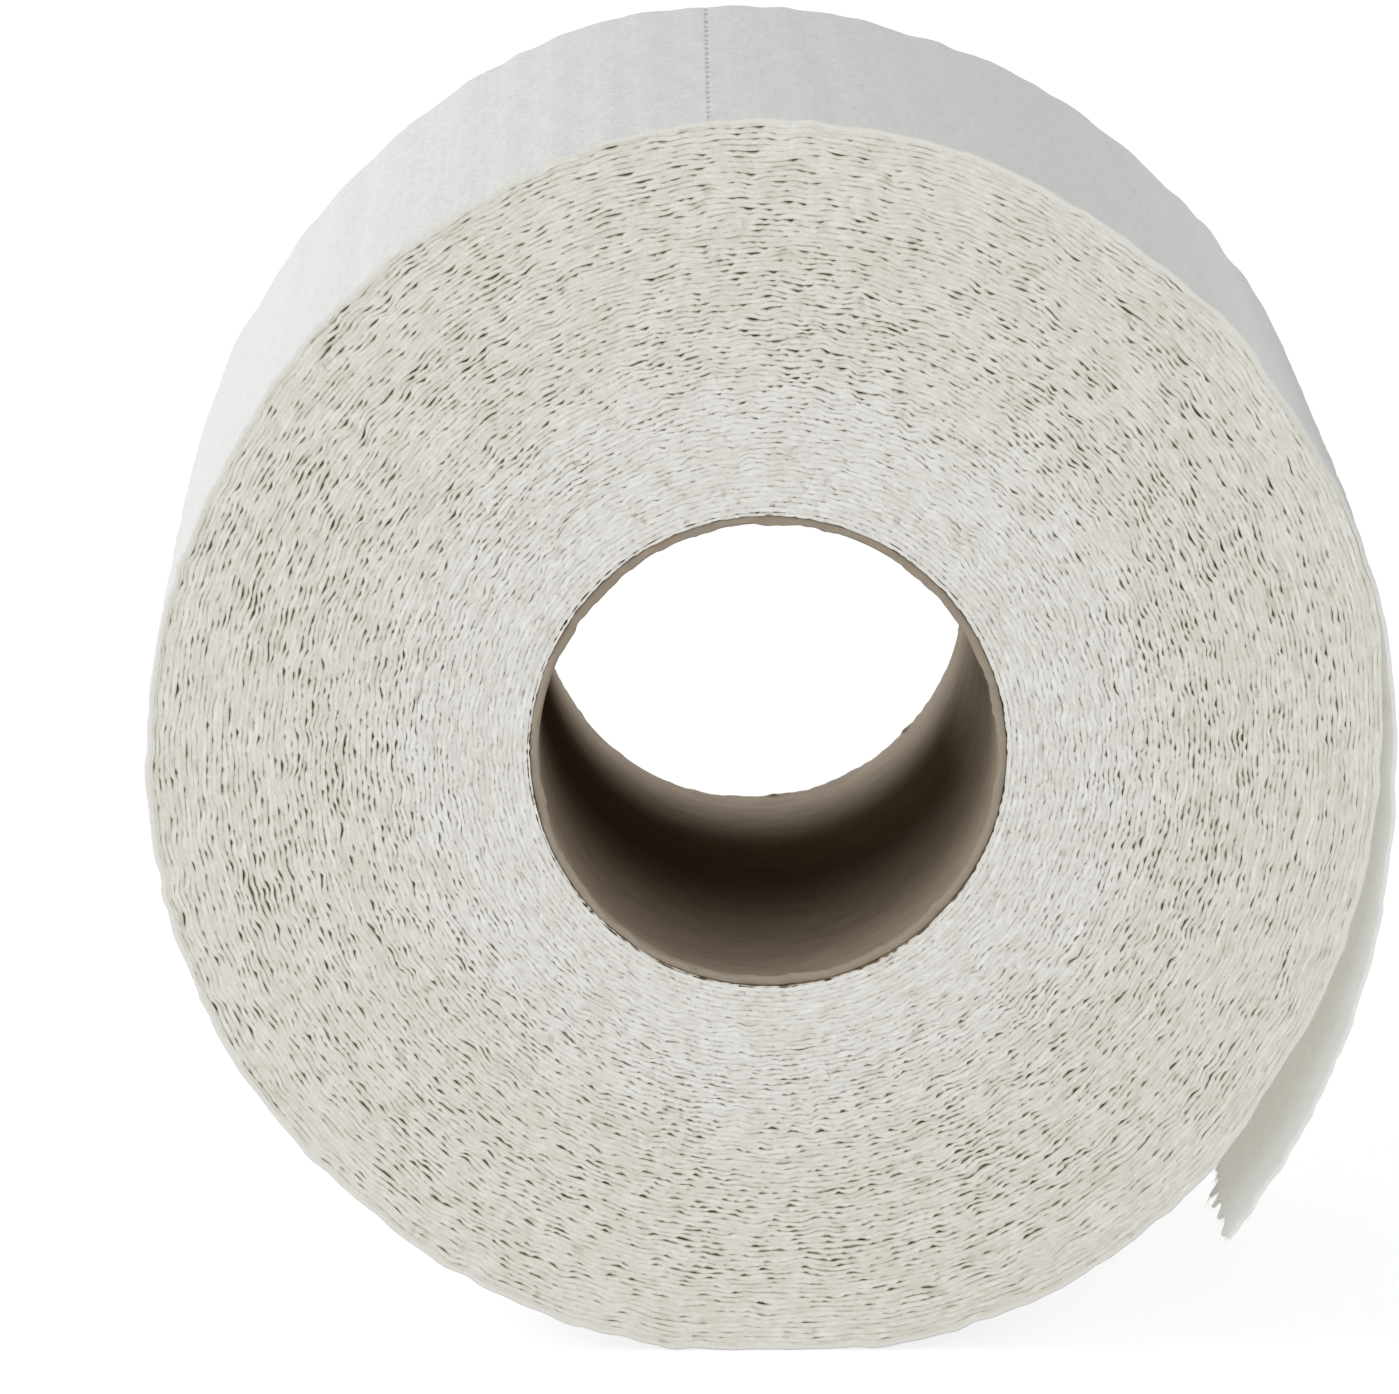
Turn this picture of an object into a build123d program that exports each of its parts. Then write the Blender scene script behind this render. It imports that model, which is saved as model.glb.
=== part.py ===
"""Toilet paper roll: a cardboard core tube with one long web of tissue wound round it.

The roll lies on a small flat spot under it. Its axis runs along Y, its near end faces -Y
and Z is up. The origin is the middle of the core's bore. Seen from the near end, the web
winds outwards clockwise, so its loose end comes over the top and hangs on the +X side.
Angles are in degrees, counterclockwise from +X as seen from the near end.
"""
from build123d import *
import os
from math import atan2, cos, degrees, radians, sin, sqrt

# Roll and core, in millimetres
roll_radius = 56.0
roll_width = 97.0
flat_spot_width = 16.0
core_outer_radius = 21.5
core_wall = 0.8

# Turns that show on the ends. Each ridge stands for six or seven turns of the real web.
ridge_count = 10
ridge_depth = 1.2
inner_tight_band = 0.4
outer_tight_band = 1.6

# Web of three plies, perforated into sheets, with its loose end torn off along a perforation
sheet_thickness = 0.35
sheet_length = 138.0
lift_off_angle = 3.0
seam_angle = -8.0
tail_length = 47.7
tail_relax = 20.6
perforation_pitch = 4.0
perforation_slit = 3.0
slit_width = 0.4
tear_depth = 0.9

# Two centres, a quarter of a pitch each side of the axis, turn half circles into a spiral.
ridge_pitch = (roll_radius - outer_tight_band - core_outer_radius - inner_tight_band) / (ridge_count + 1)
centre_shift = ridge_pitch / 4
first_crest = core_outer_radius + inner_tight_band + 2 * centre_shift

# The loose end bends less than the roll, so its arc has a centre of its own.
tail_radius = roll_radius + tail_relax
tail_sweep = degrees(tail_length / tail_radius)
blank_radius = roll_radius + tail_length

# The half turn under the loose end lies one sheet further in.
lower_radius = roll_radius - sheet_thickness / 2
rest_height = sqrt(lower_radius**2 - (flat_spot_width / 2) ** 2)

# The next perforation is one sheet back from the torn edge, over the top of the roll.
row_angle = lift_off_angle + degrees((sheet_length - tail_length) / roll_radius)
slit_count = int(roll_width / perforation_pitch)


def polar(radius, angle, centre=(0, 0)):
    """Gives the point at this radius and angle from a centre."""
    return (centre[0] + radius * cos(radians(angle)), centre[1] + radius * sin(radians(angle)))


def ray_to_circle(angle, centre, radius):
    """Gives the point where a ray from the axis leaves a circle that holds the axis."""
    direction = polar(1, angle)
    along = direction[0] * centre[0] + direction[1] * centre[1]
    reach = along + sqrt(along**2 - centre[0] ** 2 - centre[1] ** 2 + radius**2)
    return polar(reach, angle)


def ridged_end(shift):
    """Gives the points across one end of the web, from the core out over every ridge."""
    end = roll_width / 2
    crests = [first_crest + 2 * shift + ridge * ridge_pitch for ridge in range(ridge_count + 1)]
    points = [(core_outer_radius / 2, end), (crests[0], end)]
    for crest in crests[1:]:
        points.append((crest - ridge_pitch / 2, end - ridge_depth))
        points.append((crest, end))
    points.append((blank_radius, end))
    return points


with BuildPart() as core_tube:
    with BuildSketch(Plane.XZ):
        Circle(core_outer_radius)
        Circle(core_outer_radius - core_wall, mode=Mode.SUBTRACT)
    extrude(amount=roll_width / 2, both=True)


with BuildPart() as paper_web:
    # Upper and lower half turns meet on the seam plane and run on as one spiral.
    seam_out = Plane.XZ.from_local_coords(polar(1, seam_angle))
    seam_up = Plane.XZ.from_local_coords(polar(1, seam_angle + 90))
    section = Plane(origin=(0, 0, 0), x_dir=seam_out, z_dir=seam_up)
    for shift, turning in ((centre_shift, -1), (-centre_shift, 1)):
        far_side = ridged_end(shift)
        near_side = [(along, -end) for along, end in reversed(far_side)]
        with BuildSketch(section):
            with BuildLine():
                Polyline(far_side + near_side, close=True)
            make_face()
        centre = section.from_local_coords((shift, 0, 0))
        revolve(axis=Axis(centre, (0, turning, 0)), revolution_arc=180)

    # Outline of the roll, stepping in by one sheet where the loose end leaves it
    with BuildSketch(Plane.XZ) as outline:
        with BuildLine():
            lower_centre = polar(-sheet_thickness / 2, seam_angle)
            CenterArc((0, 0), roll_radius, lift_off_angle, 180 + seam_angle - lift_off_angle)
            lower = CenterArc(lower_centre, lower_radius, 180 + seam_angle, 180)
            tail_centre = polar(-tail_relax, lift_off_angle)
            outside = CenterArc(tail_centre, tail_radius, lift_off_angle, -tail_sweep)
            inside_radius = tail_radius - sheet_thickness
            root = ray_to_circle(seam_angle, tail_centre, inside_radius)
            root_angle = degrees(atan2(root[1] - tail_centre[1], root[0] - tail_centre[0]))
            torn_angle = lift_off_angle - tail_sweep
            inside = CenterArc(tail_centre, inside_radius, root_angle, torn_angle - root_angle)
            Line(lower @ 1, inside @ 0)
            Line(inside @ 1, outside @ 1)
        make_face()
    extrude(amount=roll_width / 2, both=True, mode=Mode.INTERSECT)

    # Bore that the core fills
    with BuildSketch(Plane.XZ):
        Circle(core_outer_radius)
    extrude(amount=roll_width / 2, both=True, mode=Mode.SUBTRACT)

    # Flat spot that the roll's own weight presses into it
    split(bisect_by=Plane.XY.offset(-rest_height), keep=Keep.TOP)

    # Perforation slits along the torn edge, with the broken bonds left between them
    torn_middle = Plane.XZ.from_local_coords(outside @ 1)
    torn_out = Plane.XZ.from_local_coords(polar(1, torn_angle))
    torn_plane = Plane(origin=torn_middle, x_dir=(0, 1, 0), z_dir=torn_out)
    with BuildSketch(torn_plane):
        with GridLocations(perforation_pitch, 1, slit_count, 1):
            Rectangle(perforation_slit, 2 * tear_depth)
    extrude(amount=2 * sheet_thickness, both=True, mode=Mode.SUBTRACT)

    # Perforation slits through the outer turn, between the first sheet and the next
    row_out = Plane.XZ.from_local_coords(polar(1, row_angle))
    row_plane = Plane(origin=row_out * roll_radius, x_dir=(0, 1, 0), z_dir=row_out)
    with BuildSketch(row_plane):
        with GridLocations(perforation_pitch, 1, slit_count, 1):
            Rectangle(perforation_slit, slit_width)
    extrude(amount=sheet_thickness, both=True, mode=Mode.SUBTRACT)


core_tube.part.label = "core_tube"
paper_web.part.label = "paper_web"

os.makedirs("parts", exist_ok=True)
export_step(core_tube.part, "parts/core_tube.step")
export_step(paper_web.part, "parts/paper_web.step")
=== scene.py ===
"""Toilet paper roll: the wound web, its outer sheet with the loose end, and the core tube.

Everything is in metres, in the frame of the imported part: the roll's axis along Y, its near end
at -Y, Z up and the origin in the middle of the core's bore. Seen from the near end, the web winds
outwards clockwise. Angles run counterclockwise from +X, as seen from the near end.
"""

from math import cos, pi, radians, sin, sqrt

import bpy
import numpy as np
from mathutils import Matrix, Vector


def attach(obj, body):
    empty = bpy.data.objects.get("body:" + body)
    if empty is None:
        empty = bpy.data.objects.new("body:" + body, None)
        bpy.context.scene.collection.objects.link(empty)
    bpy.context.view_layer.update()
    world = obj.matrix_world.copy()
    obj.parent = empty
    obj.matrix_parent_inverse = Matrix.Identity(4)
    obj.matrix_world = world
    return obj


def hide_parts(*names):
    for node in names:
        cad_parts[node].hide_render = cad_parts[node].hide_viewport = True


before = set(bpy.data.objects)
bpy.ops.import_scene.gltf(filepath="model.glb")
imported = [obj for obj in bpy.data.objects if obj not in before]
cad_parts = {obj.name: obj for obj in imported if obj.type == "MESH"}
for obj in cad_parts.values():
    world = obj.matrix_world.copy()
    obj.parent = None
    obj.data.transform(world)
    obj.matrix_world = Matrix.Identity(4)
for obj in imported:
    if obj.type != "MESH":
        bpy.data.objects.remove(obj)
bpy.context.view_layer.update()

# Roll and core, as the part's source has them
roll_radius = 0.056
roll_width = 0.097
flat_spot_width = 0.016
core_radius = 0.0215
core_wall = 0.0008
sheet_thickness = 0.00035
lift_off = radians(3.0)
tail_length = 0.0477
tail_relax = 0.0206
sheet_length = 0.138
perforation_pitch = 0.004
perforation_slit = 0.003
lower_radius = roll_radius - sheet_thickness / 2
rest_height = sqrt(lower_radius**2 - (flat_spot_width / 2) ** 2)
near, far = -roll_width / 2, roll_width / 2
turn = 2 * pi

# The web: turns under the outer sheet, and the pitch that brings the outer sheet to the roll's radius
inner_turns = 74
pitch = (roll_radius - sheet_thickness - core_radius) / (inner_turns + 1)

# How the turns wave at the ends, and how far their edges lie back
wave_height = 0.00010
rim_wave_height = 0.00005
rim_wave_reach = 0.006
ledge_height = 0.00006
recess_depth = 0.00026

# Share of a dimple's depth that presses into the turn under it
push_through = 0.45

# The strip of turns: its step along the web, the turns in which it thins out, its pieces, and
# how thin it may get between two gaps
edge_step = 0.00021
join_turns = 0.04
strip_parts = 4
least_thickness = 0.000004

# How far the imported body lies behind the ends, and how much deeper in its hollows
packed_depth = 0.00058
hollow_depth = 0.00030

# How far the outer turns lie outside a true spiral: degrees round the roll, and millimetres
near_lie = [
    (-160, 0.60), (-150, 0.50), (-142, 0.30), (-132, 0.05), (-118, 0.05), (-104, 0.20), (-90, 0.20),
    (-76, 0.35), (-64, 0.55), (-56, 0.30), (-48, 0.15), (-41, -0.35), (-35, -0.90), (-20, -0.92),
    (0, -0.92), (5, -0.75), (9, -0.40), (14, -0.10), (20, -0.30), (26, -0.25), (32, -0.50),
    (38, -0.30), (45, 0.10), (55, -0.35), (62, 0.00), (70, 0.35), (80, 0.60), (95, 0.85),
    (108, 0.70), (116, 0.25), (125, 0.15), (133, -0.10), (142, -0.40), (155, -0.45), (170, 0.00),
]
far_lie = [
    (-150, 0.20), (-120, 0.00), (-90, 0.10), (-60, 0.10), (-40, -0.40), (-20, -0.80), (0, -0.90),
    (8, -0.50), (20, 0.20), (28, 0.05), (36, -0.30), (48, -0.60), (60, -0.45), (70, -0.52),
    (80, -0.28), (86, 0.10), (92, 0.40), (100, 0.65), (108, 0.65), (115, 0.42), (122, 0.05),
    (130, -0.30), (140, -0.55), (147, -0.75), (156, -0.55), (170, -0.10),
]


def length_to_turns(length):
    """Turns wound when this length of web has gone on to the core."""
    first = core_radius + pitch / 2
    return (np.sqrt(first**2 + pitch * length / pi) - first) / pitch


def turns_to_length(turns):
    """Length of web in this many turns."""
    return turn * ((core_radius + pitch / 2) * turns + pitch * turns**2 / 2)


# Noise round an end of the roll, on a map of angle by the logarithm of the radius. Grains on such
# a map keep their shape and grow with the radius, as the gaps between the turns do.
map_columns = 2048
map_rows = 384
map_step = turn / map_columns
map_start = np.log(core_radius) - 0.06

# Step round the roll in which the shade beside a dimple tapers off, in radians
taper_step = 0.0032


def grain_map(seed, along, across, lean=0.0):
    """Smooth noise with grains of this size, as shares of the radius, leaning inwards by an angle."""
    noise = np.random.default_rng(seed).standard_normal((map_rows, map_columns))
    wave_out = turn * np.fft.fftfreq(map_rows, map_step)[:, None]
    wave_round = turn * np.fft.rfftfreq(map_columns, map_step)[None, :]
    on = wave_round * cos(lean) + wave_out * sin(lean)
    off = wave_out * cos(lean) - wave_round * sin(lean)
    keep = np.exp(-0.5 * ((on * along) ** 2 + (off * across) ** 2))
    smooth = np.fft.irfft2(np.fft.rfft2(noise) * keep, s=noise.shape)
    return (smooth - smooth.mean()) / smooth.std()


def read_map(grains, angle, radius):
    """The value of a map at these angles and radii."""
    column = (angle / turn % 1.0) * map_columns
    row = np.clip((np.log(radius) - map_start) / map_step, 0, map_rows - 1.001)
    left, low = np.floor(column).astype(int), np.floor(row).astype(int)
    u, v = column - left, row - low
    left = left % map_columns
    right = (left + 1) % map_columns
    inner = grains[low, left] * (1 - u) + grains[low, right] * u
    outer = grains[low + 1, left] * (1 - u) + grains[low + 1, right] * u
    return inner * (1 - v) + outer * v


def ease(value, start, end):
    """Goes smoothly from 0 at start to 1 at end."""
    t = np.clip((value - start) / (end - start), 0, 1)
    return t * t * (3 - 2 * t)


class RollEnd:
    """The lie of the turns at one end of the roll."""

    def __init__(self, seed):
        self.waves = grain_map(seed, 0.015, 0.014, radians(10))
        self.ripples = grain_map(seed + 1, 0.0085, 0.007, radians(10))
        self.dimples = grain_map(seed + 2, 0.0045, 0.0031, radians(12))
        self.patches = grain_map(seed + 3, 0.05, 0.05)
        self.slack = grain_map(seed + 4, 0.0085, 0.0034, radians(4))
        self.ledges = grain_map(seed + 5, 0.02, 0.003)
        self.hollows = grain_map(seed + 6, 0.02, 0.02)
        self.recesses = grain_map(seed + 7, 0.0085, 0.0034, radians(6))
        self.rim_waves = grain_map(seed + 8, 0.012, 0.08)

    def lift(self, angle, radius):
        """How far the border between two turns stands out from a true spiral."""
        calm = ease(radius, core_radius, core_radius + 0.005)
        calm = calm * (1 - 0.35 * ease(radius, roll_radius - 0.003, roll_radius - 0.0005))
        waves = read_map(self.waves, angle, radius) + 0.25 * read_map(self.ripples, angle, radius)
        return wave_height * calm * waves + self.rim_lift(angle, radius)

    def rim_lift(self, angle, radius):
        """How far the outermost turns wave in and out beside their cut edges."""
        outermost = ease(radius, roll_radius - 0.0035, roll_radius - 0.0006)
        waves = read_map(self.rim_waves, angle, np.full_like(radius, roll_radius))
        return rim_wave_height * outermost * waves

    def gap(self, angle, radius):
        """Width of the plain gap between two turns at their border."""
        slack = read_map(self.slack, angle, radius)
        thin = 0.000002 + 0.000015 * ease(slack, 0.2, 1.8)
        at_rim = 0.000005 * ease(radius, roll_radius - 0.003, roll_radius - 0.001)
        at_core = ease(radius, core_radius + 0.0006, core_radius)
        return thin + at_rim + at_core * 0.0001 * np.clip(slack + 0.4, 0, 2)

    def grains(self, angle, radius):
        """Where the embossed dimples lie, and how large each is."""
        return read_map(self.dimples, angle, radius) + 0.18 * read_map(self.patches, angle, radius)

    def dimple_size(self, angle, radius):
        """Dimples fade out at the rim, sooner on the side of the loose end, and towards the core."""
        at_core = 0.42 + 0.58 * ease(radius, core_radius + 0.002, core_radius + 0.014)
        outermost = ease(radius, roll_radius - 0.0003, roll_radius - 0.0009)
        return at_core * self.at_rim(angle, radius) * outermost

    def at_rim(self, angle, radius):
        """Share of the gaps that is left beside the rim on the side of the loose end."""
        toward_loose_end = 0.5 + 0.5 * np.cos(angle + radians(25))
        return 1 - 0.8 * toward_loose_end * ease(radius, roll_radius - 0.0060, roll_radius - 0.0015)

    def dimple(self, angle, radius):
        """Depth of the embossed dimples, which leave short gaps: many shallow ones, a few deep."""
        grains = self.grains(angle, radius)
        depth = 0.00007 * ease(grains, 0.6, 1.4) + 0.00010 * ease(grains, 1.4, 2.8)
        return depth * self.dimple_size(angle, radius)

    def shade(self, angle, radius):
        """Painted shade of a turn's edge beside its dimples, which tapers off counterclockwise."""
        grains = self.grains(angle, radius)
        for step in range(1, 4):
            grains = np.maximum(grains, self.grains(angle - step * taper_step, radius) - 0.30 * step)
        shade = 0.60 * ease(grains, 0.05, 0.75) + 0.40 * ease(grains, 0.80, 1.80)
        return shade * self.dimple_size(angle, radius)

    def line(self, angle, radius):
        """Painted shade of the line between two turns."""
        line = 0.09 + 0.37 * ease(read_map(self.slack, angle, radius), -0.1, 1.6)
        return line * (0.4 + 0.6 * self.at_rim(angle, radius))

    def ledge(self, angle, radius):
        """How far a turn's edge lies inside the end of the roll."""
        recess = recess_depth * ease(read_map(self.recesses, angle, radius), 1.3, 2.6)
        return ledge_height * (1.7 + read_map(self.ledges, angle, radius)) + recess


near_end = RollEnd(11)
far_end = RollEnd(41)


def turn_section(end, angle, middle):
    """Outer and inner radius of a turn at one end, and how shaded its edge is over and under it."""
    outer = middle + pitch / 2
    inner = middle - pitch / 2
    own = end.dimple(angle, middle)
    above = end.dimple(angle, middle + pitch)
    outer_gap, inner_gap = end.gap(angle, outer), end.gap(angle, inner)
    outer_radius = outer + end.lift(angle, outer) - outer_gap / 2 - np.maximum(own, push_through * above)
    inner_radius = inner + end.lift(angle, inner) + inner_gap / 2 - push_through * own
    calm = 0.55 + 0.45 * ease(middle, core_radius + 0.002, core_radius + 0.012)
    over = np.maximum(end.shade(angle, middle), calm * end.line(angle, outer))
    under = np.maximum(0.6 * end.shade(angle, middle - pitch), calm * end.line(angle, inner))
    return outer_radius, inner_radius, over, under


def lie_table(points):
    """Smooth offsets for every degree round the roll, from a few places."""
    angles, offsets = np.array(points).T
    each = np.interp(np.arange(-180, 540), angles, offsets / 1000, period=360)
    window = np.hanning(9)
    return np.convolve(each, window / window.sum(), "same")[180:540]


near_lie_table = lie_table(near_lie)
far_lie_table = lie_table(far_lie)
soft_radius = 0.036

# How far the core lies off the middle of a soft roll, and how much smaller than its full size
core_across = -0.00030
core_down_near = 0.00045
core_down_far = 0.00080
core_less = 0.00015


def core_offset(angle, share):
    """How far the core stands off its true circle, by the share of the way to the far end."""
    down = core_down_near + (core_down_far - core_down_near) * share
    return core_across * np.cos(angle) - down * np.sin(angle) - core_less


def settled(angle, radius, share, hold=0.0):
    """Radius in the real roll, out of round and with its flat spot, which the outer turns share.

    The share goes from 0 at the near end to 1 at the far end. Hold keeps a sheet from following inwards.
    """
    degrees_round = np.arange(360)
    at_near = np.interp(np.degrees(angle), degrees_round, near_lie_table, period=360)
    at_far = np.interp(np.degrees(angle), degrees_round, far_lie_table, period=360)
    offset = at_near * (1 - share) + at_far * share
    offset = offset - hold * np.minimum(offset, 0)
    outermost = roll_radius - sheet_thickness + pitch * 0.3
    down = np.clip(-np.sin(angle), 0.05, 1)
    excess = np.clip(outermost + offset - rest_height / down, 0, None)
    follow = np.clip((radius - soft_radius) / (outermost - soft_radius), 0, 1) ** 2
    with_core = 1 - np.clip((radius - core_radius) / (soft_radius - core_radius), 0, 1)
    return radius + (offset - excess) * follow + core_offset(angle, share) * with_core


def place(angle, radius, along):
    """Points at these angles and radii from the axis, and these places along it."""
    return np.stack(np.broadcast_arrays(radius * np.cos(angle), along, radius * np.sin(angle)), axis=-1)


def sheet_mesh(name, outside, inside, spans, widths, edge_width=0.0):
    """A closed sheet of paper between two grids of points, with its lengths and widths as a UV map.

    The first index of a grid runs along the web and the second across it. The edge width carries
    the map on over the cut edges.
    """
    count, across = outside.shape[:2]
    loop = 2 * across
    points = np.concatenate([outside, inside[:, ::-1]], axis=1)
    here = np.arange(loop)
    there = (here + 1) % loop
    base = (np.arange(count - 1) * loop)[:, None]
    sides = np.stack([base + here, base + there, base + loop + there, base + loop + here], axis=-1)
    first = np.arange(across - 1)
    last = (count - 1) * loop
    start_cap = np.stack([first, loop - 1 - first, loop - 2 - first, first + 1], axis=-1)
    end_cap = last + np.stack([first, first + 1, loop - 2 - first, loop - 1 - first], axis=-1)
    quads = np.concatenate([sides.reshape(-1, 4), start_cap, end_cap])[:, ::-1]
    widths_inside = widths[:, ::-1].copy()
    widths_inside[:, 0] += edge_width
    widths_inside[:, -1] -= edge_width
    width_loop = np.concatenate([widths, widths_inside], axis=1)
    span_loop = np.repeat(spans[:, None], loop, axis=1)
    flat = np.stack([span_loop, width_loop], axis=-1).reshape(-1, 2)
    mesh = quad_mesh(name, points.reshape(-1, 3), quads, flat)
    corners = np.isin(here, [0, across - 1, across, loop - 1])
    crease(mesh, corners, count)
    return mesh


def quad_mesh(name, points, quads, flat=None):
    """A smooth-shaded mesh of quads, with a UV map in metres where it is given."""
    mesh = bpy.data.meshes.new(name)
    mesh.vertices.add(len(points))
    mesh.vertices.foreach_set("co", points.astype(np.float32).ravel())
    mesh.loops.add(quads.size)
    mesh.loops.foreach_set("vertex_index", quads.astype(np.int32).ravel())
    mesh.polygons.add(len(quads))
    mesh.polygons.foreach_set("loop_start", np.arange(0, quads.size, 4, dtype=np.int32))
    mesh.polygons.foreach_set("use_smooth", np.ones(len(quads), dtype=bool))
    mesh.update(calc_edges=True)
    if flat is not None:
        layer = mesh.uv_layers.new(name="web")
        layer.uv.foreach_set("vector", flat[quads.ravel()].astype(np.float32).ravel())
    return mesh


def ring_mesh(name, points):
    """A closed ring from sections round the roll, each a loop of points."""
    around, size = points.shape[:2]
    here = np.arange(size)
    there = (here + 1) % size
    base = (np.arange(around) * size)[:, None]
    following = np.roll(base, -1, axis=0)
    quads = np.stack([base + here, base + there, following + there, following + here], axis=-1)
    return quad_mesh(name, points.reshape(-1, 3), quads.reshape(-1, 4))


def crease(mesh, corners, count):
    """Marks a sheet's sharp edges: those along its corners, and those round its two ends.

    The mesh has this count of rows, each a loop of points, with a mark for each that is a corner.
    """
    ends = np.empty(2 * len(mesh.edges), dtype=np.int32)
    mesh.edges.foreach_get("vertices", ends)
    row, place_in_row = np.divmod(ends.reshape(-1, 2), len(corners))
    along_corner = corners[place_in_row[:, 0]] & (place_in_row[:, 0] == place_in_row[:, 1])
    in_one_row = row[:, 0] == row[:, 1]
    round_end = in_one_row & ((row[:, 0] == 0) | (row[:, 0] == count - 1))
    layer = mesh.attributes.new("sharp_edge", "BOOLEAN", "EDGE")
    layer.data.foreach_set("value", along_corner | round_end)


def add_piece(mesh, material, node):
    """Puts a mesh into the scene as a finished piece that stands for a node of the part."""
    piece = bpy.data.objects.new(mesh.name, mesh)
    bpy.context.scene.collection.objects.link(piece)
    mesh.materials.append(material)
    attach(piece, "root")
    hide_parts(node)


def wound_turns(material):
    """The web from the core to the outer sheet, as one strip wound through every turn.

    It starts a turn early, where the core cuts into it, so that it leaves no wedge at the core.
    """
    first = turns_to_length(-0.97)
    total = turns_to_length(inner_turns)
    spans = np.linspace(first, total, int((total - first) / edge_step) + 1)
    turns = length_to_turns(spans)
    angle = lift_off - turn * turns
    middle = core_radius + pitch * (turns + 0.5)
    rough = np.random.default_rng(5).normal(0, 0.000010, (4, len(spans)))
    grids = []
    shades = []
    ends = ((near_end, near, 0, rough[:2]), (far_end, far, 1, rough[2:]))
    for end, place_along, share, jitter in ends:
        outer, inner, over, under = turn_section(end, angle, middle)
        inner = np.maximum(inner, core_radius + 0.4 * end.gap(angle, np.maximum(inner, core_radius)))
        outer = np.maximum(outer, inner + least_thickness)
        last = ease(turns, inner_turns - join_turns, inner_turns)
        outer = outer - (pitch - sheet_thickness) * last
        shades.append((over, under))
        for radius, border, noise in ((outer, 0.4, jitter[0]), (inner, -0.4, jitter[1])):
            ledge = end.ledge(angle, middle + border * pitch) * (1 - 0.6 * last) + noise
            along = place_along + (1 - 2 * share) * ledge
            grids.append(place(angle, settled(angle, radius, share), along))
    outside = np.stack([grids[0], grids[2]], axis=1)
    inside = np.stack([grids[1], grids[3]], axis=1)
    widths = np.broadcast_to([near, far], (len(spans), 2))
    bounds = np.linspace(0, len(spans) - 1, strip_parts + 1).astype(int)
    (near_over, near_under), (far_over, far_under) = shades
    for part, (start, stop) in enumerate(zip(bounds[:-1], bounds[1:] + 1), 1):
        rows = slice(start, stop)
        name = f"wound_turns_{part}"
        mesh = sheet_mesh(name, outside[rows], inside[rows], spans[rows], widths[rows], pitch)
        keep_shades(mesh, "shade_over", near_over[rows], far_over[rows])
        keep_shades(mesh, "shade_under", near_under[rows], far_under[rows])
        add_piece(mesh, material, "paper_web")


def keep_shades(mesh, name, at_near, at_far):
    """Keeps the shades beside the gaps on a strip's four rails, for its material."""
    layer = mesh.attributes.new(name, "FLOAT", "POINT")
    values = np.stack([at_near, at_far, at_far, at_near], axis=1)
    layer.data.foreach_set("value", values.astype(np.float32).ravel())


def packed_turns(material):
    """The body of the web behind its open edges, where its turns lie packed on each other."""
    around, across = 360, 24
    angle = np.linspace(0, turn, around, endpoint=False)[:, None]
    radii = np.linspace(core_radius + 0.0002, roll_radius - sheet_thickness - 0.0003, across)[None, :]
    faces = []
    for end, place_along, share in ((near_end, near, 0), (far_end, far, 1)):
        hollow = ease(read_map(end.hollows, angle, radii), -1.2, 1.8)
        depth = packed_depth + hollow_depth * hollow
        faces.append(place(angle, settled(angle, radii, share), place_along + (1 - 2 * share) * depth))
    near_face, far_face = faces
    loop = np.concatenate([near_face, far_face[:, ::-1]], axis=1)
    add_piece(ring_mesh("packed_turns", loop), material, "paper_web")


# The outer sheet, from under the loose end round to where it lifts off, and the loose end
outer_step = 0.00085
sheet_clearance = 0.00001
slit_half = 0.00012
slit_dip = 0.00005
row_skew = 0.0009
round_over = 0.0009
round_drop = 0.00018
tail_radius = roll_radius + tail_relax
tail_sweep = tail_length / tail_radius
tail_centre = (-tail_relax * cos(lift_off), -tail_relax * sin(lift_off))

# The loose end hangs a little askew, and away from its near edge it is drawn in towards the roll
near_extra = 0.0037
far_extra = -0.0014
draw_width = 0.009
draw_at_lift_off = 0.00065
draw_at_torn_edge = 0.0016


def sheet_lines():
    """Places across the web: each slit's ends and middle, with more near the cut edges."""
    pitches = np.arange(near, far + 0.0001, perforation_pitch)
    slit = perforation_slit
    lines = np.concatenate([pitches, pitches + slit / 2, pitches + slit])
    rims = np.array([0, 0.00012, 0.0003, 0.0006, round_over])
    lines = lines[(lines > near + 1.6 * round_over) & (lines < far - 1.6 * round_over)]
    return np.sort(np.concatenate([near + rims, lines, far - rims]))


def sheet_lift(angle, radius, along):
    """Waves of the outer sheet, which run on between the waves of the two ends."""
    share = np.clip((along - near) / roll_width, 0, 1)
    ends = near_end.lift(angle, radius) * (1 - share) + far_end.lift(angle, radius) * share
    to_near, to_far = np.maximum(along - near, 0), np.maximum(far - along, 0)
    for end, own, distance in ((near_end, 1 - share, to_near), (far_end, share, to_far)):
        ends = ends + end.rim_lift(angle, radius) * (np.exp(-((distance / rim_wave_reach) ** 2)) - own)
    middle = 1 - np.abs(2 * share - 1) ** 6
    swell = np.zeros(np.broadcast(angle, along).shape)
    rng = np.random.default_rng(77)
    for wave in range(24):
        rounds = rng.integers(30, 110)
        tilt = rng.uniform(-1, 1) * 900
        swell += np.sin(rounds * angle + tilt * along + rng.uniform(0, turn))
    return ends + middle * (0.000014 * swell + 0.00004)


def drawn_in(along, amount):
    """How far the sheet is drawn in towards the roll, away from its near edge."""
    return amount * (1 - np.exp(-(((along - near) / draw_width) ** 2)))


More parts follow.
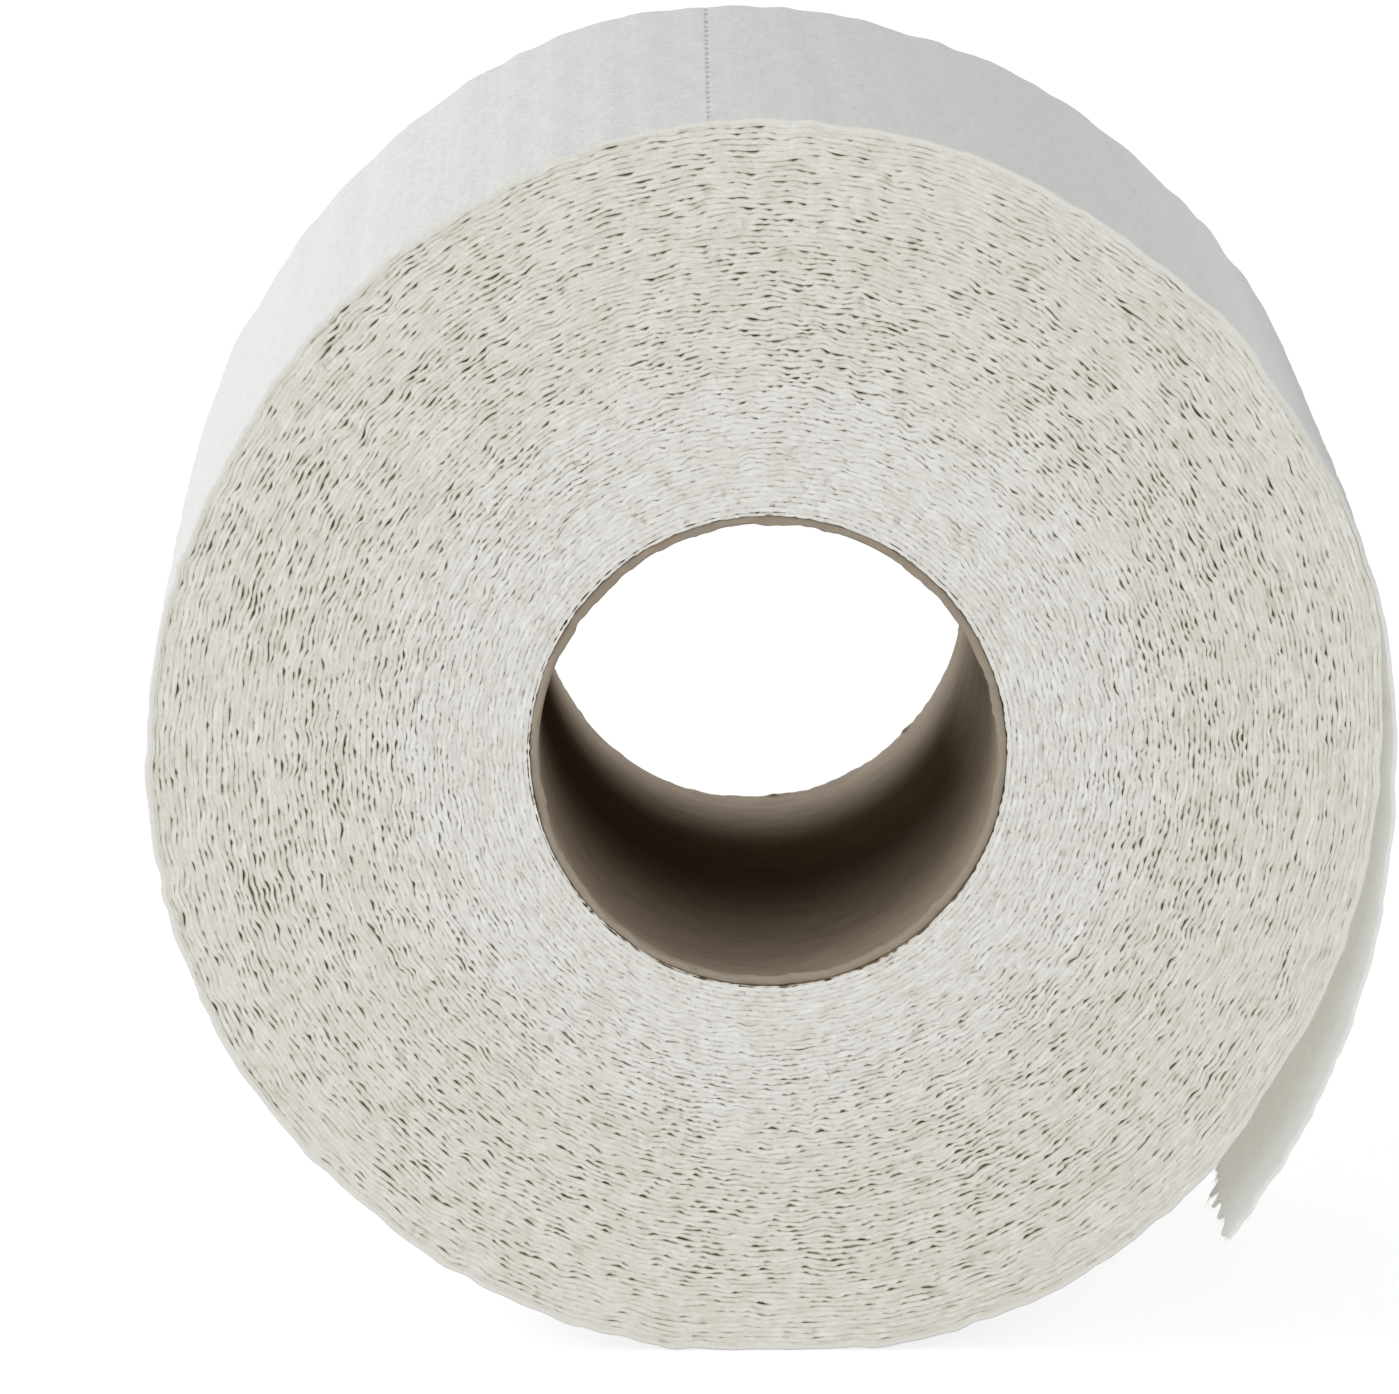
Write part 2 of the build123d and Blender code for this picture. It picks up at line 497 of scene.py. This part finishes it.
def edge_places(angle, radius, along):
    """Where the points across the sheet lie along the roll, uneven at its two cut edges."""
    share = (along - near) / roll_width
    at_near = near_end.ledge(angle, radius) * 0.4
    at_far = far_end.ledge(angle, radius) * 0.4
    return along + at_near * (1 - share) - at_far * share


def outer_sheet(material):
    """The outermost turn, down to the place where it lifts off, with its cut edges rounded over."""
    lift_off_turns = inner_turns + 1
    start = turns_to_length(inner_turns)
    total = turns_to_length(lift_off_turns)
    spans = np.linspace(start, total, int((total - start) / outer_step) + 1)
    row = total - (sheet_length - tail_length)
    spans = spans[np.abs(spans - row) > 4 * slit_half]
    spans = np.sort(np.append(spans, row + slit_half * np.array([-3, -1.5, -0.6, 0.6, 1.5, 3])))
    turns = length_to_turns(spans)[:, None]
    line = sheet_lines()[None, :]
    share = (line - near) / roll_width
    beside = np.exp(-(((spans[:, None] - row) / 0.006) ** 2))
    angle = lift_off - turn * turns - row_skew / roll_radius * share * beside
    base = core_radius + pitch * turns
    lift = sheet_lift(angle, base, line)
    begun = ease(turns, inner_turns, inner_turns + join_turns)
    lift_outside = lift * begun + sheet_lift(angle, base + pitch, line) * (1 - begun)
    loose = ease(turns, lift_off_turns - 35 / 360, lift_off_turns - 5 / 360)
    to_edge = np.minimum(line - near, far - line)
    bend = np.clip(1 - to_edge / round_over, 0, 1)
    drop = round_drop * (1 - 0.8 * loose) * begun * (1 - np.sqrt(1 - bend**2))
    drawn = draw_at_lift_off * ease(turns, lift_off_turns - 7 / 360, lift_off_turns)
    drop = drop + drawn_in(line, drawn)
    in_slit = (line - near) % perforation_pitch < perforation_slit + 0.00001
    slit = (np.abs(spans - row) < slit_half)[:, None] & in_slit
    outer = settled(angle, base + lift_outside + sheet_thickness, share, loose) - drop
    inner = settled(angle, base + lift + sheet_clearance, share, loose) - drop
    along = edge_places(angle, base, line)
    outside = place(angle, outer - slit_dip * slit, along)
    inside = place(angle, inner, along)
    for grid in (outside, inside):
        grid[..., 2] = np.maximum(grid[..., 2], -rest_height)
    widths = np.broadcast_to(line, outside.shape[:2])
    add_piece(sheet_mesh("outer_sheet", outside, inside, spans, widths), material, "paper_web")


def tail_places(sweep, line, torn):
    """Points on the outside and the inside of the loose end, from lift-off to its torn edge."""
    share = (line - near) / roll_width
    askew = np.interp(share, [0, 0.15, 0.35, 0.7, 1], [near_extra, 0.0022, 0.0003, -0.0007, far_extra])
    bend = sweep * tail_sweep * (1 + askew / tail_length) + torn / tail_radius * ease(sweep, 0.93, 1)
    angle = lift_off - bend
    free = ease(sweep, 0, 1)
    rng = np.random.default_rng(9)
    billow = np.zeros(bend.shape)
    for wave in range(7):
        long_wave = rng.uniform(20, 90)
        cross_wave = rng.uniform(-160, 160)
        phase = rng.uniform(0, turn)
        billow = billow + np.sin(long_wave * sweep * tail_length + cross_wave * line + phase)
    crinkle = np.zeros(bend.shape)
    for wave in range(12):
        fold = rng.uniform(1200, 3200)
        tilt = rng.uniform(-0.5, 0.5)
        crinkle = crinkle + np.sin(fold * (sweep * tail_length + tilt * line))
    start_radius = roll_radius - sheet_thickness
    lift = sheet_lift(angle, start_radius, line) * (1 - 0.3 * free) + free * 0.00018 * billow
    lift = lift + free * 0.000022 * crinkle
    more = (draw_at_torn_edge - draw_at_lift_off) * ease(sweep, 0, 0.8)
    lift = lift - drawn_in(line, draw_at_lift_off + more)
    along = edge_places(angle, start_radius, np.broadcast_to(line, bend.shape))
    to_edge = np.minimum(line - near, far - line)
    drop = 0.2 * round_drop * (1 - np.sqrt(1 - np.clip(1 - to_edge / round_over, 0, 1) ** 2))
    faces = []
    for radius in (tail_radius, tail_radius - sheet_thickness + sheet_clearance):
        grid = place(angle, radius + lift - drop, along)
        grid[..., 0] += tail_centre[0]
        grid[..., 2] += tail_centre[1]
        faces.append(grid)
    return faces


def loose_end(material):
    """The end of the web that hangs free, bent less than the roll, down to its torn edge."""
    line = np.sort(np.append(np.linspace(near, far, 251), [near + 0.00012, far - 0.00012]))[None, :]
    sweep = np.linspace(0, 1, 61)
    sweep = (1.35 * sweep - 0.35 * sweep**3)[:, None]
    outside, inside = tail_places(sweep, line, torn_outline(line))
    spans = turns_to_length(inner_turns + 1) + sweep[:, 0] * tail_length
    widths = np.broadcast_to(line, outside.shape[:2])
    add_piece(sheet_mesh("loose_end", outside, inside, spans, widths), material, "paper_web")


def torn_outline(along):
    """How far the torn edge stands out or back at each place across the web."""
    rng = np.random.default_rng(21)
    edge = np.zeros(along.shape)
    bonds = np.arange(near + perforation_pitch, far - 0.001, perforation_pitch)
    for bond in bonds:
        width = rng.uniform(0.0004, 0.0009)
        height = rng.choice([0.0003, 0.0008, 0.0015]) * rng.uniform(0.7, 1.2)
        shift = rng.uniform(-0.0005, 0.0005)
        tooth = (along - bond - shift) / width
        edge = edge + height * np.exp(-np.abs(tooth) ** 1.4 * np.where(tooth > 0, 1.8, 0.7))
    fray = np.interp(along, np.linspace(near, far, 160), rng.normal(0, 0.00012, 160))
    return edge + fray


def torn_fibres(material):
    """Loose fibres that stick out of the torn edge, each a thin tapered thread."""
    rng = np.random.default_rng(33)
    count, rings = 220, 6
    root = rng.uniform(near + 0.0002, far - 0.0002, count)
    outside, inside = tail_places(np.array([[0.97], [1.0]]), root[None, :], torn_outline(root[None, :]))
    start = (outside + inside) / 2
    out = start[1] - start[0]
    out /= np.linalg.norm(out, axis=1)[:, None]
    across = np.array([0, 1, 0])
    lean = rng.normal(0, 0.5, count)[:, None]
    curl = rng.normal(0, 0.9, count)[:, None]
    rise = rng.normal(0, 0.35, count)[:, None]
    length = rng.uniform(0.0003, 0.0013, count)[:, None]
    normal = np.cross(out, across)
    points, faces = [], []
    for ring in range(rings):
        t = ring / (rings - 1)
        swing = (lean * t + curl * t * t) * length * 0.7
        centre = start[1] + out * length * (t - 0.25) + across * swing + normal * rise * length * t * t
        thick = 0.000028 * (1 - 0.75 * t)
        for corner in range(3):
            turned = corner * turn / 3
            points.append(centre + thick * (cos(turned) * across + sin(turned) * normal))
    points = np.stack(points, axis=1).reshape(-1, 3)
    for thread in range(count):
        base = thread * rings * 3
        faces.append((base + 2, base + 1, base))
        for ring in range(rings - 1):
            low = base + ring * 3
            for corner in range(3):
                after = (corner + 1) % 3
                faces.append((low + corner, low + after, low + after + 3, low + corner + 3))
        top = base + (rings - 1) * 3
        faces.append((top, top + 1, top + 2))
    mesh = bpy.data.meshes.new("torn_fibres")
    mesh.from_pydata(points.tolist(), [], faces)
    add_piece(mesh, material, "paper_web")


def core_tube(material):
    """The cardboard core, cut a little unevenly at its rims."""
    around = 420
    angle = np.linspace(0, turn, around, endpoint=False)
    grains = grain_map(61, 0.05, 0.4)
    fine = grain_map(62, 0.012, 0.1)
    worn = read_map(grains, angle, core_radius) + 0.5 * read_map(fine, angle, core_radius)

    # A nick in both rims, a little to the left of the lowest point
    bite = np.exp(-(((angle - radians(251.5)) / 0.012) ** 2))

    # Sections along the bore, closer together at its ends
    steps = 28
    run = np.linspace(0, 1, steps)
    run = 0.5 - 0.5 * np.cos(pi * run)
    profile = []
    outer, inner = core_radius - 0.00002, core_radius - core_wall
    lip = 0.00012
    for end, sign in ((near, 1), (far, -1)):
        rim = end + sign * (0.00025 + 0.00012 * worn)
        burr = 0.00010 * worn
        ring = [
            (outer + 0 * angle, rim + sign * lip),
            (outer - lip + 0 * angle, rim),
            ((outer + inner) / 2 + 0 * angle, rim + sign * 0.0003 * bite),
            (inner + lip - burr, rim + sign * 0.0006 * bite),
            (inner - burr, rim + sign * (lip + 0.0007 * bite)),
        ]
        profile.append(ring)
    near_ring, far_ring = profile
    inset = 0.001
    bore = [
        (inner + 0 * angle, near + inset + share * (roll_width - 2 * inset) + 0 * angle) for share in run
    ]
    loop = far_ring + bore[::-1] + near_ring[::-1]
    points = []
    for radius, along in loop:
        share = (along - near) / roll_width
        points.append(place(angle, radius + core_offset(angle, share), along))
    points = np.stack(points, axis=1)
    add_piece(ring_mesh("core_board", points), material, "core_tube")


# Materials


def add_node(tree, kind, settings=None, **inputs):
    """A shader node with these settings, whose inputs take values or the outputs of other nodes.

    An input goes by its name, or by an underscore and its number.
    """
    node = tree.nodes.new(kind)
    for name, value in (settings or {}).items():
        setattr(node, name, value)
    for name, value in inputs.items():
        key = int(name[1:]) if name[1:].isdigit() else name.replace("_", " ")
        socket = node.inputs[key]
        if isinstance(value, bpy.types.NodeSocket):
            tree.links.new(value, socket)
        else:
            socket.default_value = value
    return node


def maths(tree, operation, *values):
    """The result of a sum on one to three values."""
    inputs = {f"_{number}": value for number, value in enumerate(values)}
    return add_node(tree, "ShaderNodeMath", {"operation": operation}, **inputs).outputs[0]


def spread(tree, value, start, end, low=0.0, high=1.0, smooth=False):
    """Goes from low to high as a value goes from start to end."""
    settings = {"interpolation_type": "SMOOTHSTEP" if smooth else "LINEAR"}
    node = add_node(
        tree, "ShaderNodeMapRange", settings,
        Value=value, From_Min=start, From_Max=end, To_Min=low, To_Max=high,
    )
    return node.outputs[0]


def mix(tree, factor, first, second, blend_type="MIX"):
    """A mix of two colours by a factor from 0 to 1."""
    settings = {"data_type": "RGBA", "blend_type": blend_type}
    return add_node(tree, "ShaderNodeMix", settings, Factor=factor, _6=first, _7=second).outputs[2]


def noise_at(tree, where, scale, detail, roughness=0.5):
    """Noise from 0 to 1 at these places."""
    node = add_node(
        tree, "ShaderNodeTexNoise", Vector=where, Scale=scale, Detail=detail, Roughness=roughness
    )
    return node.outputs["Fac"]


def stretched(tree, where, scale):
    """Places scaled along each of their axes."""
    return add_node(tree, "ShaderNodeMapping", Vector=where, Scale=scale).outputs["Vector"]


def faces_end(tree):
    """How squarely a surface faces one of the roll's two ends, from 0 to 1."""
    facing = add_node(tree, "ShaderNodeNewGeometry").outputs["True Normal"]
    across = add_node(tree, "ShaderNodeSeparateXYZ", Vector=facing).outputs["Y"]
    return maths(tree, "ABSOLUTE", across)


def new_group(name, inputs, outputs):
    """A shader node group with these named inputs and outputs."""
    tree = bpy.data.node_groups.new(name, "ShaderNodeTree")
    for label, kind, value in inputs:
        socket = tree.interface.new_socket(label, in_out="INPUT", socket_type=kind)
        socket.default_value = value
    for label, kind in outputs:
        tree.interface.new_socket(label, in_out="OUTPUT", socket_type=kind)
    return tree, tree.nodes.new("NodeGroupInput"), tree.nodes.new("NodeGroupOutput")


def place_group(tree, group, **inputs):
    """A node group placed in a material with its own values."""
    return add_node(tree, "ShaderNodeGroup", {"node_tree": group}, **inputs)


def fibre_group():
    """Tissue fibres: the height of a soft felt of fine grains, and broader patches of tone."""
    tree, given, result = new_group(
        "tissue_fibres",
        [("Grain Size", "NodeSocketFloat", 0.0003), ("Patch Size", "NodeSocketFloat", 0.002)],
        [("Height", "NodeSocketFloat"), ("Patch", "NodeSocketFloat")],
    )
    where = add_node(tree, "ShaderNodeTexCoord").outputs["Object"]
    fine = maths(tree, "DIVIDE", 1.0, given.outputs["Grain Size"])
    broad = maths(tree, "DIVIDE", 1.0, given.outputs["Patch Size"])
    tree.links.new(noise_at(tree, where, fine, 2.0, 0.65), result.inputs["Height"])
    tree.links.new(noise_at(tree, where, broad, 2.0), result.inputs["Patch"])
    return tree


def new_material(name):
    """A material with its Principled shader, and its tree."""
    material = bpy.data.materials.new(name)
    material.use_nodes = True
    return material, material.node_tree, material.node_tree.nodes["Principled BSDF"]


def set_finish(shader, roughness, shine):
    """How rough a surface is, and how much it reflects."""
    shader.inputs["Roughness"].default_value = roughness
    shader.inputs["Specular IOR Level"].default_value = shine


def soft_paper(shader):
    """Matt tissue with hardly any shine."""
    set_finish(shader, 0.95, 0.15)


def add_surface(tree, shader, colour, height, strength, distance):
    """Gives a shader its colour and its bumps. The bumps' normal is for other shaders too."""
    tree.links.new(colour, shader.inputs["Base Color"])
    bump = add_node(tree, "ShaderNodeBump", Height=height, Strength=strength, Distance=distance)
    tree.links.new(bump.outputs["Normal"], shader.inputs["Normal"])
    return bump.outputs["Normal"]


def turn_edges(fibres):
    """Cut edges of the turns: cream paper with painted shade beside each gap.

    The gaps' own walls and the edges that lie back are browner, as painted shade.
    """
    material, tree, shader = new_material("cut_turns")
    web = add_node(tree, "ShaderNodeUVMap", {"uv_map": "web"}).outputs["UV"]
    felt = place_group(tree, fibres, Grain_Size=0.00018, Patch_Size=0.0035)
    streak = noise_at(tree, stretched(tree, web, (800.0, 2600.0, 1.0)), 1.0, 4.0, 0.65)
    tone = maths(tree, "MULTIPLY_ADD", felt.outputs["Patch"], 0.35, streak)
    tint = spread(tree, tone, 0.53, 0.81)
    paper = mix(tree, tint, (0.82, 0.80, 0.735, 1), (0.94, 0.935, 0.915, 1))

    # The outer turns are creamier than those beside the core
    where = add_node(tree, "ShaderNodeTexCoord").outputs["Object"]
    flatten = {"operation": "MULTIPLY"}
    off_axis = add_node(tree, "ShaderNodeVectorMath", flatten, _0=where, _1=(1.0, 0.0, 1.0))
    measure = {"operation": "LENGTH"}
    from_axis = add_node(tree, "ShaderNodeVectorMath", measure, _0=off_axis.outputs["Vector"])
    outer = spread(tree, from_axis.outputs["Value"], 0.031, 0.039, smooth=True)
    cream = mix(tree, outer, paper, (0.965, 0.96, 0.92, 1), "MULTIPLY")

    # Depth behind the end of the roll, where painted shade makes the edges that lie back browner
    along = add_node(tree, "ShaderNodeSeparateXYZ", Vector=where).outputs["Y"]
    depth = maths(tree, "SUBTRACT", roll_width / 2, maths(tree, "ABSOLUTE", along))
    back = spread(tree, depth, 0.00018, 0.00045, high=0.5, smooth=True)
    painted_depth_shade = mix(tree, back, cream, (0.76, 0.71, 0.61, 1))

    # Place across the edge of a turn, from 0 at its outer side to 1 at its inner side
    place_on_web = add_node(tree, "ShaderNodeSeparateXYZ", Vector=web)
    beyond = maths(tree, "ABSOLUTE", place_on_web.outputs["Y"])
    place_in = spread(tree, beyond, roll_width / 2, roll_width / 2 + pitch)
    # Painted shade beside the gaps, from the shades kept on the strip's rails
    shades = []
    for name, side in (("shade_over", 0.0), ("shade_under", 1.0)):
        shade = add_node(tree, "ShaderNodeAttribute", {"attribute_name": name}).outputs["Fac"]
        distance = maths(tree, "ABSOLUTE", maths(tree, "SUBTRACT", place_in, side))
        reach = spread(tree, shade, 0.0, 1.0, 0.17, 0.46)
        close = spread(tree, distance, 0.0, reach, 1.0, 0.0, smooth=True)
        shades.append(maths(tree, "MULTIPLY", shade, close))
    beside = maths(tree, "MAXIMUM", *shades)
    painted_gap_shade = mix(tree, beside, painted_depth_shade, (0.38, 0.33, 0.22, 1))

    # Walls of the gaps, in painted shade that grows browner and darker with depth
    wall = spread(tree, faces_end(tree), 0.7, 0.3)
    deep = spread(tree, depth, 0.0, 0.0005)
    inside = mix(tree, deep, (0.64, 0.56, 0.42, 1), (0.40, 0.31, 0.20, 1))
    shaded = mix(tree, wall, painted_gap_shade, inside)

    # The outer face of the last turn lies bare where the sheet over it lifts off
    last = turns_to_length(inner_turns)
    ending = spread(tree, place_on_web.outputs["X"], last - 0.046, last - 0.034, smooth=True)
    bare = maths(tree, "MULTIPLY", wall, ending)
    with_face = mix(tree, bare, shaded, (0.82, 0.82, 0.805, 1))
    add_surface(tree, shader, with_face, felt.outputs["Height"], 0.7, 0.0001)
    soft_paper(shader)
    return material


def packed_paper(fibres):
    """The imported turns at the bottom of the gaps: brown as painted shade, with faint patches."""
    material, tree, shader = new_material("packed_paper")
    felt = place_group(tree, fibres, Grain_Size=0.00018, Patch_Size=0.002)
    tint = spread(tree, felt.outputs["Patch"], 0.35, 0.65)
    # Painted shade: the tissue here is brown, as the gaps' shaded bottoms look
    colour = mix(tree, tint, (0.33, 0.26, 0.18, 1), (0.45, 0.37, 0.27, 1))
    add_surface(tree, shader, colour, felt.outputs["Height"], 0.6, 0.00008)
    soft_paper(shader)
    return material


def sheet_face(fibres):
    """Face of the web: white embossed tissue, which lets light through where it hangs free."""
    material, tree, shader = new_material("tissue_sheet")
    web = add_node(tree, "ShaderNodeUVMap", {"uv_map": "web"}).outputs["UV"]
    felt = place_group(tree, fibres, Grain_Size=0.00025, Patch_Size=0.004)
    dashes = noise_at(tree, stretched(tree, web, (1400.0, 1300.0, 1.0)), 1.0, 3.0, 0.6)
    tone = maths(tree, "ADD", felt.outputs["Height"], dashes)
    tint = spread(tree, tone, 0.75, 1.25)
    colour = mix(tree, tint, (0.75, 0.75, 0.735, 1), (0.88, 0.88, 0.87, 1))

    # How far the web hangs free at this place along it
    place_on_web = add_node(tree, "ShaderNodeSeparateXYZ", Vector=web)
    length, width = place_on_web.outputs["X"], place_on_web.outputs["Y"]
    lift_off_length = turns_to_length(inner_turns + 1)
    free = spread(tree, length, lift_off_length - 0.035, lift_off_length - 0.006, smooth=True)

    # Painted light: the loose end is paler beside its near edge
    beside_edge = spread(tree, width, near + 0.0095, near + 0.0025, smooth=True)
    painted_edge_light = maths(tree, "MULTIPLY", beside_edge, free)
    with_edge_light = mix(tree, painted_edge_light, colour, (0.85, 0.85, 0.84, 1))

    # Cut edges are creamier where they lie on the roll
    cut = spread(tree, faces_end(tree), 0.5, 0.8)
    wound = maths(tree, "SUBTRACT", 1.0, free)
    cream = maths(tree, "MULTIPLY", cut, wound)
    with_edge = mix(tree, cream, with_edge_light, (0.86, 0.845, 0.79, 1))

    # Dots of the perforation: painted shade where each slit gapes
    row_length = lift_off_length - (sheet_length - tail_length)
    off_row = maths(tree, "ABSOLUTE", maths(tree, "SUBTRACT", length, row_length))
    on_row = spread(tree, off_row, 0.00006, 0.00030, 1.0, 0.0, smooth=True)
    pitches = spread(tree, width, near, far, 0.0, turn * roll_width / perforation_pitch)
    gaping = spread(tree, maths(tree, "COSINE", pitches), 0.4, -0.7)
    dot = maths(tree, "MULTIPLY", on_row, gaping)
    dotted = mix(tree, dot, with_edge, (0.66, 0.66, 0.64, 1), "MULTIPLY")

    # Embossed dots and fibres
    dots = add_node(
        tree, "ShaderNodeTexVoronoi", {"feature": "SMOOTH_F1"}, Vector=web, Scale=850.0, Randomness=0.45
    )
    height = maths(tree, "MULTIPLY_ADD", dashes, 1.6, dots.outputs["Distance"])
    bumps = add_surface(tree, shader, dotted, height, 0.9, 0.00013)
    soft_paper(shader)

    # Light that comes through where the sheet hangs free, with more painted light beside the near edge
    grain = spread(tree, felt.outputs["Height"], 0.35, 0.65)
    glow = mix(tree, grain, (0.82, 0.81, 0.75, 1), (0.94, 0.93, 0.88, 1))
    bright = mix(tree, painted_edge_light, glow, (0.91, 0.91, 0.89, 1))
    through = add_node(tree, "ShaderNodeBsdfTranslucent", Color=bright, Normal=bumps)
    passed = maths(tree, "MULTIPLY", free, 0.57)
    parts = {"_1": shader.outputs[0], "_2": through.outputs[0]}
    both = add_node(tree, "ShaderNodeMixShader", Fac=passed, **parts)
    tree.links.new(both.outputs[0], tree.nodes["Material Output"].inputs["Surface"])
    return material


def core_board(fibres):
    """Brown board of the core: paler at its cut rims, darker inside as painted shade, paler towards the
    far end and on the upper right as painted light, with fine lines round it.
    """
    material, tree, shader = new_material("core_board")
    felt = place_group(tree, fibres, Grain_Size=0.00035, Patch_Size=0.003)
    where = add_node(tree, "ShaderNodeTexCoord").outputs["Object"]
    along = add_node(tree, "ShaderNodeSeparateXYZ", Vector=where).outputs["Y"]
    # Painted shade, darker in the middle of the bore than at its ends
    from_near = spread(tree, along, near + 0.008, near + 0.052, smooth=True)
    from_far = spread(tree, along, far - 0.002, far - 0.031, smooth=True)
    deep = maths(tree, "MULTIPLY", from_near, from_far)

    # Painted light: the bore's upper right side, seen from the near end, stays paler
    upper_right = (cos(0.6), 0.0, sin(0.6))
    project = {"operation": "DOT_PRODUCT"}
    toward = add_node(tree, "ShaderNodeVectorMath", project, _0=where, _1=upper_right).outputs["Value"]
    painted_lit_side = spread(tree, toward, 0.34 * core_radius, 0.78 * core_radius, 1.0, 0.02, smooth=True)
    painted_bore_shade = maths(tree, "MULTIPLY", deep, painted_lit_side)
    # Painted light: the board grows paler towards the far end
    to_far = spread(tree, along, 0.01, far - 0.006)
    painted_far_light = mix(tree, to_far, (0.485, 0.405, 0.315, 1), (0.74, 0.65, 0.54, 1))
    board = mix(tree, painted_bore_shade, painted_far_light, (0.095, 0.065, 0.040, 1))

    # Fine lines round the tube, and its cut rims
    lines = noise_at(tree, stretched(tree, where, (0.08, 1.0, 0.08)), 1500.0, 3.0)
    tone = maths(tree, "ADD", felt.outputs["Patch"], lines)
    tint = spread(tree, tone, 0.75, 1.25)
    mottled = mix(tree, tint, board, (0.84, 0.835, 0.82, 1), "MULTIPLY")
    cut = spread(tree, faces_end(tree), 0.35, 0.7)
    rim = mix(tree, cut, mottled, (0.38, 0.325, 0.255, 1))
    height = maths(tree, "ADD", felt.outputs["Height"], lines)
    add_surface(tree, shader, rim, height, 0.5, 0.0001)
    set_finish(shader, 1.0, 0.0)
    return material


# Floor, light and camera


def seen_directly(tree):
    """1 for rays that the camera, a glossy surface or glass sees directly, else 0."""
    path = add_node(tree, "ShaderNodeLightPath")
    first = maths(tree, "MAXIMUM", path.outputs["Is Camera Ray"], path.outputs["Is Glossy Ray"])
    return maths(tree, "MAXIMUM", first, path.outputs["Is Transmission Ray"])


def pale_world(ambient):
    """A white surround that lights the roll softly."""
    world = bpy.data.worlds.new("pale_surround")
    bpy.context.scene.world = world
    world.use_nodes = True
    tree = world.node_tree
    back = tree.nodes["Background"]
    back.inputs["Color"].default_value = (1, 1, 1, 1)
    strength = spread(tree, seen_directly(tree), 0.0, 1.0, ambient, 1.0)
    tree.links.new(strength, back.inputs["Strength"])


def pale_floor():
    """A plain floor that looks white and keeps the roll's shadow."""
    mesh = bpy.data.meshes.new("floor")
    half = 5.0
    corners = [(-half, -half), (half, -half), (half, half), (-half, half)]
    mesh.from_pydata([(x, y, -rest_height) for x, y in corners], [], [(0, 1, 2, 3)])
    floor = bpy.data.objects.new("floor", mesh)
    bpy.context.scene.collection.objects.link(floor)
    material, tree, shader = new_material("pale_floor")
    set_finish(shader, 1.0, 0.0)
    direct = seen_directly(tree)
    paint = mix(tree, direct, (0.85, 0.85, 0.85, 1), (0.33, 0.33, 0.33, 1))
    tree.links.new(paint, shader.inputs["Base Color"])
    glow = maths(tree, "MULTIPLY", direct, 0.80)
    shader.inputs["Emission Color"].default_value = (1, 1, 1, 1)
    tree.links.new(glow, shader.inputs["Emission Strength"])
    mesh.materials.append(material)


def softbox(name, place_at, size, power):
    """A square lamp that faces the middle of the roll."""
    lamp = bpy.data.lights.new(name, "AREA")
    lamp.shape = "SQUARE"
    lamp.size = size
    lamp.energy = power
    light = bpy.data.objects.new(name, lamp)
    bpy.context.scene.collection.objects.link(light)
    aim_along(light, place_at, -Vector(place_at))


def aim_along(thing, place_at, view):
    """Puts a lamp or a camera at a place, looking this way."""
    turned = view.to_track_quat("-Z", "Y").to_matrix().to_4x4()
    thing.matrix_world = Matrix.Translation(place_at) @ turned


def photo_camera():
    """The camera where the photograph was taken from, looking a little down along the axis."""
    data = bpy.data.cameras.new("camera")
    data.sensor_width = 36.0
    data.lens = 319.0
    camera = bpy.data.objects.new("camera", data)
    bpy.context.scene.collection.objects.link(camera)
    yaw, pitch_down = radians(0.6855), radians(-9.410)
    view = Vector((sin(yaw) * cos(pitch_down), cos(yaw) * cos(pitch_down), sin(pitch_down)))
    aim_along(camera, Vector((-0.01955, -1.14214, 0.18582)), view)
    bpy.context.scene.camera = camera


photo_camera()
pale_world(0.39)
pale_floor()
softbox("key", (-1.5, -0.35, 0.85), 1.0, 10.2)
softbox("front_left", (-0.8, -1.8, 0.2), 1.0, 7.7)
softbox("front_right", (0.5, -1.9, 0.5), 1.0, 5.5)
softbox("right", (1.4, 0.1, 0.45), 1.0, 5.3)
softbox("back", (-0.8, 1.7, 0.5), 1.2, 14.0)
bpy.context.scene.view_settings.view_transform = "Standard"

fibres = fibre_group()
edges = turn_edges(fibres)
faces = sheet_face(fibres)
wound_turns(edges)
packed_turns(packed_paper(fibres))
outer_sheet(faces)
loose_end(faces)
torn_fibres(faces)
core_tube(core_board(fibres))
